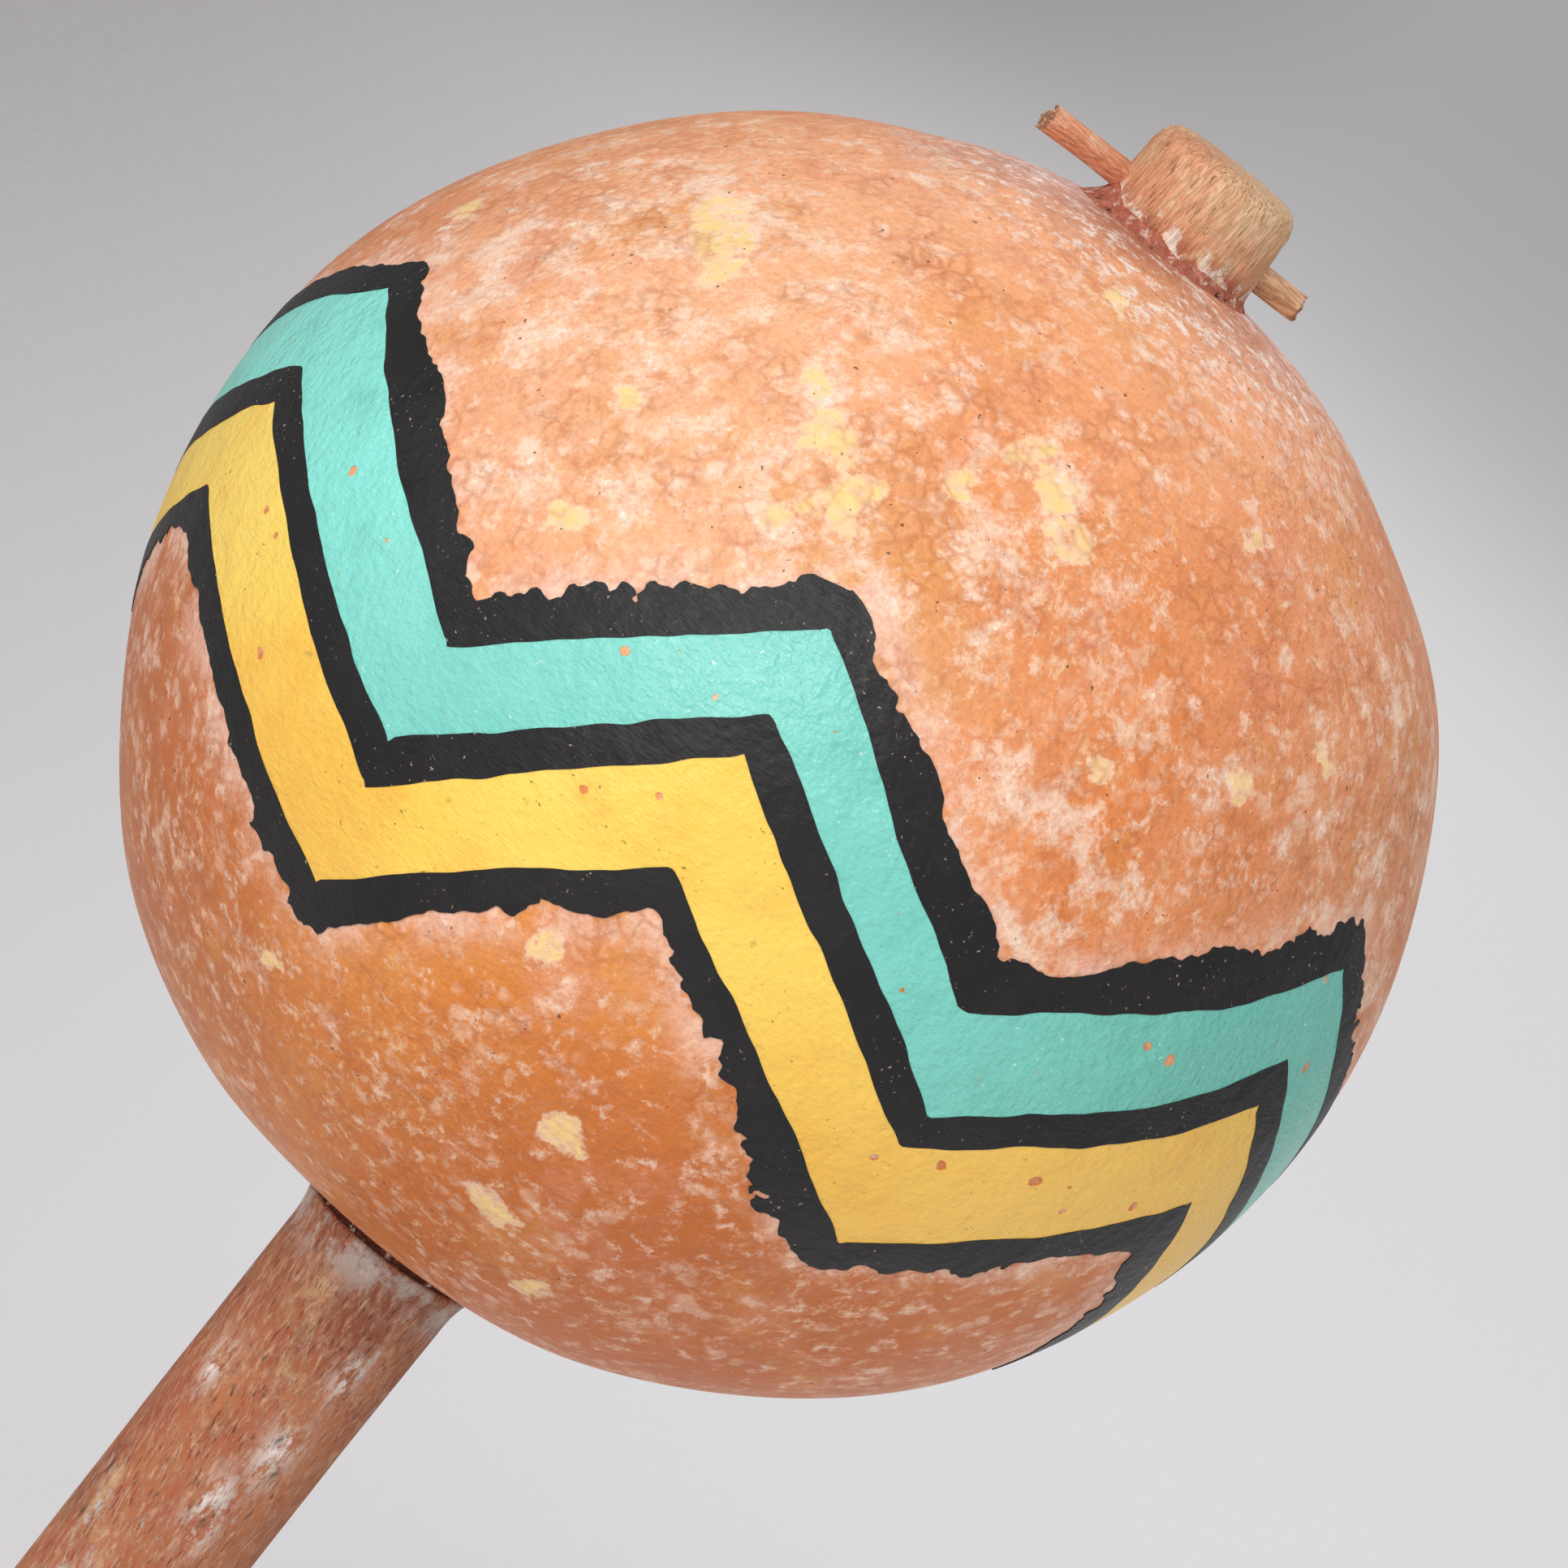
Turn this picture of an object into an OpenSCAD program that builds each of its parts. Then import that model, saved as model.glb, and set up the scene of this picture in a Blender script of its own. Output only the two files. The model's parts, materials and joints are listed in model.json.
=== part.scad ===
// Gourd rattle: a hollow gourd threaded on a stick, held by a shoulder below and a
// cross peg above, sealed with clay paste at both holes, with loose stones inside.
// +Z runs along the stick from the butt to the gourd. The origin is on the stick's
// axis, in the middle of the hand grip.

/* [Gourd] */
// Height of the gourd from hole to hole
gourd_h = 156; // [120:2:190]
// How much further the gourd bulges at its waist than at its poles
gourd_bulge = 3; // [0:0.5:8]
// Thickness of the dried shell
gourd_wall = 4; // [3:0.5:7]

/* [Stick] */
// Length of the handle, from the butt to the shoulder
handle_l = 110; // [100:5:160]
// Diameter of the handle where the hand holds it
handle_d = 23.5; // [22.5:0.5:27]
// Diameter of the flared shoulder that the gourd sits on
shoulder_d = 24.6; // [23.5:0.1:28]
// Length of handle over which the shoulder flares out
shoulder_flare_l = 5; // [2:0.5:10]
// Rounding of the butt's rim
butt_round = 3.5; // [1:0.5:6]
// Diameter of the shaft that goes through the gourd
shaft_d = 21.6; // [18:0.2:22]
// Diameter of the stick at its top end
top_d = 20.4; // [16:0.2:21]
// How far the stick stands out above the gourd
top_h = 13; // [9:0.5:20]
// Rounding of the top end's rim
top_round = 2.8; // [1:0.2:4]

/* [Cross peg] */
// Side of the split square peg
peg_side = 3; // [2:0.1:3.4]
// Length of the peg
peg_l = 39.4; // [30:0.2:50]
// How far the peg sticks out further on one side than on the other, halved
peg_offset = 2.7; // [0:0.1:5]
// Height of the peg's middle above the gourd's pole
peg_h = 3.9; // [3:0.1:5]
// Turn of the peg about the stick
peg_turn = 12; // [-45:1:45]
// Roll of the peg about its own length
peg_roll = 36; // [0:1:90]

/* [Clay paste] */
// Radius of the hollow fillet of paste round the stick's top end
top_fillet = 2.4; // [1.5:0.1:3.5]
// Height of the paste-filled gap between shoulder and gourd
lower_gap = 1.2; // [0.6:0.1:2]
// Width of the paste ring in that gap
lower_paste_w = 1; // [0.5:0.1:1.2]

/* [Rattle stones] */
// Stones in each of the two rings that they settle into
stones_per_ring = 8; // [4:1:8]
// Diameter of a middling stone
stone_d = 7.4; // [5:0.1:7.6]
// How much larger or smaller a stone may be
stone_vary = 1.1; // [0:0.1:1.2]
// Thickness of a stone as a share of its diameter
stone_flatness = 0.68; // [0.5:0.01:0.9]
// Space between a stone and whatever it lies on
stone_gap = 0.3; // [0.2:0.05:0.5]

/* [Hidden] */
$fn = 120;
gourd_r = gourd_h / 2;
cavity_r = gourd_r - gourd_wall;
handle_r = handle_d / 2;
shoulder_r = shoulder_d / 2;
shaft_r = shaft_d / 2;
top_r = top_d / 2;
hole_clearance = 0.3;
hole_r = shaft_r + hole_clearance;
butt_z = -handle_l / 2;
shoulder_z = handle_l / 2;
shoulder_edge_h = 1.2;
gourd_z = shoulder_z + lower_gap + gourd_height_at(shoulder_r);
pole_z = gourd_z + gourd_r;
stick_top_z = pole_z + top_h;
peg_z = pole_z + peg_h;
stone_count = 2 * stones_per_ring;
ring_gap = 10.6;
golden_turn = 137.5;
stones = [for (i = [1 : stone_count]) str("rattle_stone_", i)];

// Height of the gourd's outer surface above its own middle, at a radius from the axis
function gourd_height_at(r) = sqrt(pow(gourd_r, 2) - pow(r - gourd_bulge, 2));

// Points along an arc, from angle a0 to angle a1
function arc(x, z, r, a0, a1, steps = 8) =
    [for (i = [0 : steps])
        let (a = a0 + (a1 - a0) * i / steps)
        [x + r * cos(a), z + r * sin(a)]];

// A stone's diameter, its ring (0 inside, 1 outside), and its place round the stick
function stone_d_of(i) = stone_d + stone_vary * sin(golden_turn * i);
function stone_ring_of(i) = i > stones_per_ring ? 1 : 0;
function stone_radius_of(i) =
    shaft_r + 1.2 + (stone_d + stone_vary) / 2 + ring_gap * stone_ring_of(i);
function stone_angle_of(i) =
    360 / stones_per_ring * (i + 0.5 * stone_ring_of(i)) + 2 * sin(3 * golden_turn * i);

// Slope of the cavity's floor where a stone lies flat on it, and the stone's height there
function stone_tilt_of(i) = asin((stone_radius_of(i) - gourd_bulge) / stone_reach_of(i));
function stone_reach_of(i) = cavity_r - stone_gap - stone_d_of(i) * stone_flatness / 2;
function stone_rest_z(i) =
    gourd_z - sqrt(pow(stone_reach_of(i), 2) - pow(stone_radius_of(i) - gourd_bulge, 2));

// How far a stone can fly up the inside before it meets the cavity's roof
function stone_travel_of(i) =
    gourd_z - stone_rest_z(i)
    + sqrt(pow(cavity_r - stone_gap - stone_d_of(i) / 2, 2)
           - pow(stone_radius_of(i) - gourd_bulge, 2));

// Outline of the gourd at one skin: its outside, or its cavity
module gourd_outline(r) {
    translate([gourd_bulge, gourd_z])
        circle(r = r, $fn = 360);
}

// Everything nearer to the axis than the holes through the gourd
module bore_outline(r) {
    translate([r - gourd_h, gourd_z - gourd_h])
        square([gourd_h, 2 * gourd_h]);
}

module gourd_shell() {
    color("#DC8A4E")
        rotate_extrude($fn = 180)
            difference() {
                gourd_outline(gourd_r);
                gourd_outline(cavity_r);
                bore_outline(hole_r);
            }
}

// Half of the stick's lengthwise section, from the butt up to the top end
module stick_outline() {
    polygon(concat(
        [[0, butt_z]],
        arc(handle_r - butt_round, butt_z + butt_round, butt_round, -90, 0),
        [[handle_r, shoulder_z - shoulder_flare_l],
         [shoulder_r, shoulder_z - shoulder_edge_h],
         [shoulder_r, shoulder_z],
         [shaft_r, shoulder_z],
         [shaft_r, pole_z]],
        arc(top_r - top_round, stick_top_z - top_round, top_round, 0, 90),
        [[0, stick_top_z]]));
}

// The peg's square bar, which also cuts its hole through the stick
module peg_bar() {
    translate([0, 0, peg_z])
        rotate([0, 0, peg_turn])
            rotate([peg_roll, 0, 0])
                translate([-peg_l / 2 - peg_offset, -peg_side / 2, -peg_side / 2])
                    cube([peg_l, peg_side, peg_side]);
}

module stick() {
    color("#A9694C")
        difference() {
            rotate_extrude()
                stick_outline();
            peg_bar();
        }
}

module cross_peg() {
    color("#D58A55")
        peg_bar();
}

// Hollow fillet of paste between the gourd's top and the stick
module top_paste() {
    color("#B0604A")
        difference() {
            rotate_extrude($fn = 180)
                difference() {
                    translate([shaft_r - 1, pole_z - 1])
                        square([top_fillet + 1, top_fillet + 1]);
                    translate([shaft_r + top_fillet, pole_z + top_fillet])
                        circle(r = top_fillet);
                    gourd_outline(gourd_r);
                    stick_outline();
                }
            peg_bar();
        }
}

// Ring of paste between the shoulder and the gourd's underside
module lower_paste() {
    color("#5E2A1C")
        rotate_extrude()
            difference() {
                translate([shaft_r, shoulder_z])
                    square([lower_paste_w, 2 * lower_gap]);
                gourd_outline(gourd_r);
                bore_outline(shaft_r);
            }
}

// One smooth, flattish stone lying on the floor of the cavity
module rattle_stone(i) {
    edge_r = stone_d_of(i) * stone_flatness / 2;
    flat_r = stone_d_of(i) / 2 - edge_r;
    color("#9A8F80")
        rotate([0, 0, stone_angle_of(i)])
            translate([stone_radius_of(i), 0, stone_rest_z(i)])
                rotate([0, -stone_tilt_of(i), 0])
                    rotate_extrude($fn = 48)
                        intersection() {
                            union() {
                                translate([flat_r, 0])
                                    circle(r = edge_r);
                                translate([0, -edge_r])
                                    square([flat_r, 2 * edge_r]);
                            }
                            translate([0, -edge_r])
                                square([stone_d_of(i), 2 * edge_r]);
                        }
}

gourd_shell();
stick();
cross_peg();
top_paste();
lower_paste();
for (i = [1 : stone_count])
    rattle_stone(i);
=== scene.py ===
import json
import random
from math import acos, cos, degrees, exp, pi, radians, remainder, sin, sqrt

import bpy
import numpy as np
from mathutils import Matrix, Vector, noise

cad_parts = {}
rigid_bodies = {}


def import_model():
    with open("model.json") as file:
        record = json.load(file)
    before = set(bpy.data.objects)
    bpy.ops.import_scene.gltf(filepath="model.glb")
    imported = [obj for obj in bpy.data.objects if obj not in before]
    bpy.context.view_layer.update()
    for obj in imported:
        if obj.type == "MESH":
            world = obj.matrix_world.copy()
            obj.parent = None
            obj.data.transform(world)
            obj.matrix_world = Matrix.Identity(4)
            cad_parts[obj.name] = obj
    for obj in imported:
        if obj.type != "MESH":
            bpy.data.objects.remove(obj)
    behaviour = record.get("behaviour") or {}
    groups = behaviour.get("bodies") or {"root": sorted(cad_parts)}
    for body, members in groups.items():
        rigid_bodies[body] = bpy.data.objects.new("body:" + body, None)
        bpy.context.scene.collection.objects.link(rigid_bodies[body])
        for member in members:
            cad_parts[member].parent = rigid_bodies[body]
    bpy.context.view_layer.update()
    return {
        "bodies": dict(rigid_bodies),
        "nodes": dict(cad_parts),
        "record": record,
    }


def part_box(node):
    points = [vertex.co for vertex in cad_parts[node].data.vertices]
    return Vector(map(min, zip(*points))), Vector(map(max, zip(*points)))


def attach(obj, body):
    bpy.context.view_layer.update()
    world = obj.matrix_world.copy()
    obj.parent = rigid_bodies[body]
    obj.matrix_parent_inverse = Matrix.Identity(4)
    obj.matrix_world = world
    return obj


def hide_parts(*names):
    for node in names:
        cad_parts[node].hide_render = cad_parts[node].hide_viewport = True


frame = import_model()
mm = 0.001
scene = bpy.context.scene

gourdLow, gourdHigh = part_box("gourd_shell")
stickLow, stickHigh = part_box("stick")
pegLow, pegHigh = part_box("cross_peg")
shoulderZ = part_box("lower_paste")[0].z / mm
gourdZ = (gourdLow.z + gourdHigh.z) / 2 / mm
waistRadius = (gourdHigh.x - gourdLow.x) / 2 / mm
gripRadius = next(m for m in frame["record"]["mounts"] if m["name"] == "grip")["dims"]["r_mm"]


def toLinear(hexColour):
    parts = [int(hexColour[i:i + 2], 16) / 255 for i in (1, 3, 5)]
    return [p / 12.92 if p <= 0.04045 else ((p + 0.055) / 1.055) ** 2.4 for p in parts] + [1.0]


# Adds a node with its settings and links, and returns its outputs; a plain kind is a shader node's
def addNode(tree, kind, inputs=None, **settings):
    node = tree.nodes.new(kind if "Node" in kind else "ShaderNode" + kind)
    for name, value in settings.items():
        setattr(node, name, value)
    for socket, value in (inputs or {}).items():
        if isinstance(value, bpy.types.NodeSocket):
            tree.links.new(value, node.inputs[socket])
        else:
            node.inputs[socket].default_value = value
    return node.outputs


# A material, its Object coordinates, and a way to lay one of its look's patterns on them by name
def startMaterial(name, look):
    material = bpy.data.materials.new(name)
    material.use_nodes = True
    tree = material.node_tree
    place = addNode(tree, "TexCoord")["Object"]

    def pattern(kind, where=place, lean=None):
        return patches(tree, where, *look["patterns"][kind], lean=lean)

    return material, tree, place, pattern


# Joins colour, roughness, gloss and relief to the shader; each relief is a pattern and its depth in mm
def finishMaterial(tree, colour, rough, gloss, reliefs=()):
    shader = tree.nodes["Principled BSDF"]
    tree.links.new(colour, shader.inputs["Base Color"])
    if isinstance(rough, bpy.types.NodeSocket):
        tree.links.new(rough, shader.inputs["Roughness"])
    else:
        shader.inputs["Roughness"].default_value = rough
    shader.inputs["Specular IOR Level"].default_value = gloss
    for height, depth in reliefs:
        under = shader.inputs["Normal"].links
        inputs = {"Height": height, "Distance": depth * mm}
        if under:
            inputs["Normal"] = under[0].from_socket
        bump = addNode(tree, "Bump", inputs)
        tree.links.new(bump[0], shader.inputs["Normal"])


# Patches as a mask from 0 to 1. Every look's "patterns" give, in this order: their size in mm, the noise
# at which they begin and are full, a seed, detail, roughness, and how much they stretch along the stick.
# lean is a mask and how much more of the pattern shows there.
def patches(tree, place, size, low, high, seed=0, detail=4, rough=0.55, stretch=1, lean=None):
    moved = addNode(tree, "Mapping",
                    {0: place, 1: (0.37 * seed, 0.23 * seed, 0.11 * seed), 3: (1, 1, 1 / stretch)})
    cloud = addNode(tree, "TexNoise",
                    {"Vector": moved[0], "Scale": 1 / (size * mm), "Detail": detail,
                     "Roughness": rough})[0]
    if lean is not None:
        share, amount = lean
        cloud = addNode(tree, "Math", {0: share, 1: amount, 2: cloud},
                        operation="MULTIPLY_ADD")[0]
    return addNode(tree, "MapRange",
                   {0: cloud, 1: low, 2: high}, interpolation_type="SMOOTHSTEP")[0]


# The same place shifted to and fro, so that an outline laid on it turns ragged; size and reach in mm
def ruffled(tree, place, size, reach):
    cloud = addNode(tree, "TexNoise", {"Vector": place, "Scale": 1 / (size * mm), "Detail": 4})
    aside = addNode(tree, "VectorMath", {0: cloud[1], 1: (0.5, 0.5, 0.5)},
                    operation="SUBTRACT")
    return addNode(tree, "VectorMath",
                   {0: aside[0], 1: (reach * mm, reach * mm, reach * mm), 2: place},
                   operation="MULTIPLY_ADD")[0]


# Round flakes: each is a cell of a real size in mm, worn down to its middle
def flakes(tree, place, size, low, high):
    cells = addNode(tree, "TexVoronoi", {"Vector": place, "Scale": 1 / (size * mm)})
    return addNode(tree, "MapRange",
                   {0: cells[0], 1: high, 2: low}, interpolation_type="SMOOTHSTEP")[0]


# How much a point of the gourd faces one way: 1 there, 0 once it is reach degrees away
def facing(tree, place, lon, lat, reach):
    way = outward(radians(lon), radians(lat))
    middle = addNode(tree, "VectorMath", {0: place, 1: (0, 0, gourdZ * mm)}, operation="SUBTRACT")
    outwards = addNode(tree, "VectorMath", {0: middle[0]}, operation="NORMALIZE")
    share = addNode(tree, "VectorMath", {0: outwards[0], 1: tuple(way)},
                    operation="DOT_PRODUCT")
    return addNode(tree, "MapRange",
                   {0: share[1], 1: cos(radians(reach)), 2: 1.0},
                   interpolation_type="SMOOTHSTEP")[0]


# How far along an axis a point is, from 0 at the first place to 1 at the second, in mm
def along(tree, place, axis, first, second, ease="SMOOTHSTEP"):
    spot = addNode(tree, "SeparateXYZ", {0: place})[axis]
    return addNode(tree, "MapRange",
                   {0: spot, 1: first * mm, 2: second * mm}, interpolation_type=ease)[0]


# Coats of colour, each let through by its mask and strength
def layCoats(tree, colour, coats):
    for mask, hexColour, strength in coats:
        amount = addNode(tree, "Math", {0: mask, 1: strength}, operation="MULTIPLY")
        coat = addNode(tree, "Mix",
                       {0: amount[0], 6: colour, 7: toLinear(hexColour)}, data_type="RGBA")
        colour = coat[2]
    return colour


# A look's coats, each with the mask made for it, or else with the pattern of its name
def coatsOf(look, pattern, masks):
    return [(masks[name] if name in masks else pattern(name), look[tint], strength)
            for name, tint, strength in look["coats"]]


# Where all the masks are strong
def overlap(tree, *masks):
    share = masks[0]
    for mask in masks[1:]:
        share = addNode(tree, "Math", {0: share, 1: mask}, operation="MULTIPLY")[0]
    return share


# Where any of the masks is strong
def strongest(tree, masks):
    share = masks[0]
    for mask in masks[1:]:
        share = addNode(tree, "Math", {0: share, 1: mask}, operation="MAXIMUM")[0]
    return share


print("camera, light and floor")
view = {"elevation": 8.0, "roll": 38.3, "distance": 1200.0, "frameWidth": 193.2,
        "right": 0.6, "up": -4.4}


def placeCamera():
    tilt, roll = radians(view["elevation"]), radians(view["roll"])
    back = Vector((0, -cos(tilt), sin(tilt)))
    levelUp = Vector((0, sin(tilt), cos(tilt)))
    levelRight = Vector((1, 0, 0))
    up = cos(roll) * levelUp - sin(roll) * levelRight
    right = cos(roll) * levelRight + sin(roll) * levelUp
    target = Vector((0, 0, gourdZ * mm)) + (right * view["right"] + up * view["up"]) * mm
    lens = bpy.data.cameras.new("camera")
    lens.lens = lens.sensor_width * view["distance"] / view["frameWidth"]
    lens.clip_start, lens.clip_end = 0.05, 60
    camera = bpy.data.objects.new("camera", lens)
    scene.collection.objects.link(camera)
    camera.rotation_euler = Matrix((right, up, back)).transposed().to_euler()
    camera.location = target + back * view["distance"] * mm
    scene.camera = camera
    return target, right, up, back


target, cameraRight, cameraUp, cameraBack = placeCamera()

lamps = {
    # name: kind, (to the right, up, towards the camera in m), size in m, watts
    "softbox": ("AREA", (-0.1, 0.6, 1.45), 1.0, 11.0),
    "window": ("SUN", (-0.1, 0.9, 1.3), 1.0, 0.75),
    "sideFill": ("AREA", (1.4, -0.1, 0.9), 1.0, 2.5),
    "leftFill": ("AREA", (-1.2, 0.95, 0.65), 1.0, 4.5),
    "overhead": ("POINT", (1.3, 1.0, -0.6), 0.4, 30.0),
    "backFill": ("POINT", (0.9, 1.3, -2.4), 0.5, 24.0),
}
for name, (kind, (right, up, towards), size, watts) in lamps.items():
    light = bpy.data.lights.new(name, kind)
    light.energy = watts
    if kind == "AREA":
        light.shape, light.size = "DISK", size
    elif kind == "SUN":
        light.angle = size
    else:
        light.shadow_soft_size = size
    lamp = bpy.data.objects.new(name, light)
    lamp.location = target + cameraRight * right + cameraUp * up + cameraBack * towards
    lamp.rotation_euler = (lamp.location - target).to_track_quat("Z", "Y").to_euler()
    lamp.visible_camera = False
    scene.collection.objects.link(lamp)

scene.view_settings.view_transform = "Standard"
world = bpy.data.worlds.new("studio")
world.use_nodes = True
world.node_tree.nodes["Background"].inputs[0].default_value = toLinear("#F3F1F1")
world.node_tree.nodes["Background"].inputs[1].default_value = 0.36
scene.world = world


# Studio paper: a matt, even sheet, faintly grained, with painted shade that turns it greyer towards one side,
# where the light falls off
floorLook = {"paper": "#EFEEF0", "paintedShadeGrey": "#AEABAA", "grain": "#E6E4E5", "paintedShadeSide": (80, -420),
             "half": 20.0, "rough": 0.95, "gloss": 0.1, "patterns": {"grain": (3.0, 0.3, 0.7, 0, 3)}}


def layFloor():
    look = floorLook
    paper, tree, place, pattern = startMaterial("paleFloorPaper", look)
    # the first coat is painted shade: the paper greys towards -X, as if the lamps' light fell off there
    shade = layCoats(tree, toLinear(look["paper"]), [
        (along(tree, place, "X", *look["paintedShadeSide"]), look["paintedShadeGrey"], 1.0),
        (pattern("grain"), look["grain"], 0.12)])
    finishMaterial(tree, shade, look["rough"], look["gloss"])
    mesh = bpy.data.meshes.new("floor")
    half, height = look["half"], stickLow.z
    mesh.from_pydata([(-half, -half, height), (half, -half, height), (half, half, height),
                      (-half, half, height)], [], [(0, 1, 2, 3)])
    mesh.materials.append(paper)
    floor = bpy.data.objects.new("floor", mesh)
    scene.collection.objects.link(floor)


layFloor()


# Dyed gourd rind: a dry, waxy skin, rubbed with orange dye, so satin with a mottled pale bloom
rindLook = {
    "orange": "#EA9055", "peach": "#F4AD7E", "rust": "#C66A3E", "bloom": "#FDDCC2", "cream": "#FCD88E",
    "chalk": "#FFF3E9", "mauve": "#B9745F", "vein": "#BF6A3A", "speck": "#4B2B2C", "hem": "#FBD2BE",
    "gold": "#E6A055", "rose": "#E79A7C", "fleck": "#FBD8B2",
    "rough": 0.38, "bloomRough": 0.55, "gloss": 0.2,
    # where the dye took or bleached, and painted shade: the dark brown zones low on the gourd and on its -X
    # side stand for shade as well as deeper dye; longitude, latitude and reach in degrees, colour, strength
    "zones": [
        (-46, 20, 44, "#F8B88E", 0.8), (-10, 29, 38, "#F9BF93", 0.8), (-30, 52, 34, "#FCBC90", 0.75),
        (28, 40, 44, "#EB8D4E", 0.75), (68, 32, 38, "#E7A27B", 0.65), (8, 62, 28, "#F8AE7A", 0.65),
        (-2, 22, 15, "#E2A263", 0.6), (-14, -36, 50, "#F09A4C", 1.0), (40, -46, 56, "#C96F33", 0.95),
        (-64, -34, 42, "#C16B34", 0.9), (-92, 4, 34, "#C4723F", 0.6), (-100, 38, 34, "#EE9E6C", 0.6),
        (140, 32, 50, "#FBCDA9", 0.75), (-150, -35, 50, "#DE7B33", 0.8), (110, -32, 50, "#D17A45", 0.8),
        (-150, 40, 40, "#E4803D", 0.7)],
    # where the pale bloom lies thick: longitude, latitude, reach
    "bloomPlaces": [(-46, 20, 38), (-16, 30, 34), (72, 22, 30), (20, 12, 16), (150, 28, 44),
                    (-140, 10, 36)],
    # scuffs worn through to the cream skin: longitude, latitude, reach
    "scuffs": [(-44, 38.6, 4.2), (-48, 41, 3), (-39, 36.5, 3), (-15, 31, 4), (-9, 28, 3.6), (-20, 34, 2.6),
               (-12, 24, 2.8), (3.4, 42, 3.6), (6.4, 40, 3.4), (9.8, 37.5, 3.2), (-3.2, 65.9, 2.4),
               (50, 34, 2.2), (-71, 23, 3), (-27, 11, 2.4), (-31, 22, 2.4), (-5.4, -18, 2.8),
               (7.2, -31.4, 2.8), (7.5, -44.4, 3), (-2, 36, 2), (40, 28, 2), (34, 50, 2.2), (24, 22, 2.2),
               (60, 12, 2.6), (20, -52, 2.4), (-30, -38, 2), (120, 30, 4.5), (126, 34, 3.4), (160, -34, 4),
               (-150, 36, 4.5), (-144, 30, 3.5), (-120, -30, 3), (95, -20, 3)],
    "stain": (-90, 78, 22),      # the mauve stain beside the peg's longer end
    # heights over the gourd's middle in mm, where each begins and is full
    "upper": (-45, -5), "pigment": (72, 77), "dusting": (66, 75),
    "lowerBloom": 0.62,          # how much of the bloom is left below
    "patterns": {
        "tone": (14, 0.42, 0.60, 1, 7, 0.68), "redness": (9, 0.52, 0.70, 10, 8, 0.74),
        "golden": (16, 0.52, 0.66, 21, 6, 0.68), "rosy": (13, 0.53, 0.67, 22, 7, 0.70),
        "pale": (8, 0.54, 0.675, 4, 9, 0.72), "fine": (2.4, 0.54, 0.68, 19, 7, 0.74),
        "finePlaces": (17, 0.46, 0.60, 23, 6, 0.62), "dapplePlaces": (13, 0.52, 0.64, 5, 5),
        "grain": (0.8, 0.40, 0.66, 6, 4, 0.7), "cream": (3.2, 0.60, 0.68, 7, 8, 0.70),
        "creamRim": (3.2, 0.54, 0.66, 7, 8, 0.70), "creamWear": (1.8, 0.32, 0.58, 24, 6, 0.72),
        "streaks": (1.8, 0.52, 0.64, 8, 7, 0.72, 2.8), "streakPlaces": (30, 0.45, 0.60, 9, 3),
        "creasePlaces": (9, 0.44, 0.64, 11, 6, 0.65), "specks": (1.0, 0.755, 0.785, 12, 1),
        "pigment": (9, 0.36, 0.5, 13, 6, 0.65), "stain": (7, 0.34, 0.5, 14, 6),
        "dusting": (2.2, 0.49, 0.60, 15, 7, 0.75), "chalk": (1.2, 0.55, 0.66, 16, 4, 0.74),
        "hem": (7, 0.38, 0.56, 20, 7, 0.7), "pores": (1.0, 0.2, 0.8, 17, 4, 0.6),
        "dimples": (7, 0.2, 0.8, 18, 2)},
    # from the first coat to the last: mask, colour, strength
    "coats": [
        ("golden", "gold", 0.4), ("rosy", "rose", 0.45), ("redness", "rust", 0.45), ("pale", "bloom", 0.85),
        ("fine", "fleck", 0.5), ("hem", "hem", 0.75), ("dapple", "bloom", 0.4), ("streaks", "fleck", 0.6),
        ("grain", "rust", 0.26), ("creamRim", "bloom", 0.65), ("cream", "cream", 0.95),
        ("chalk", "chalk", 0.75), ("pigment", "mauve", 0.6), ("stain", "mauve", 0.55),
        ("dusting", "chalk", 0.75), ("creases", "vein", 0.5), ("specks", "speck", 0.75)],
}


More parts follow.
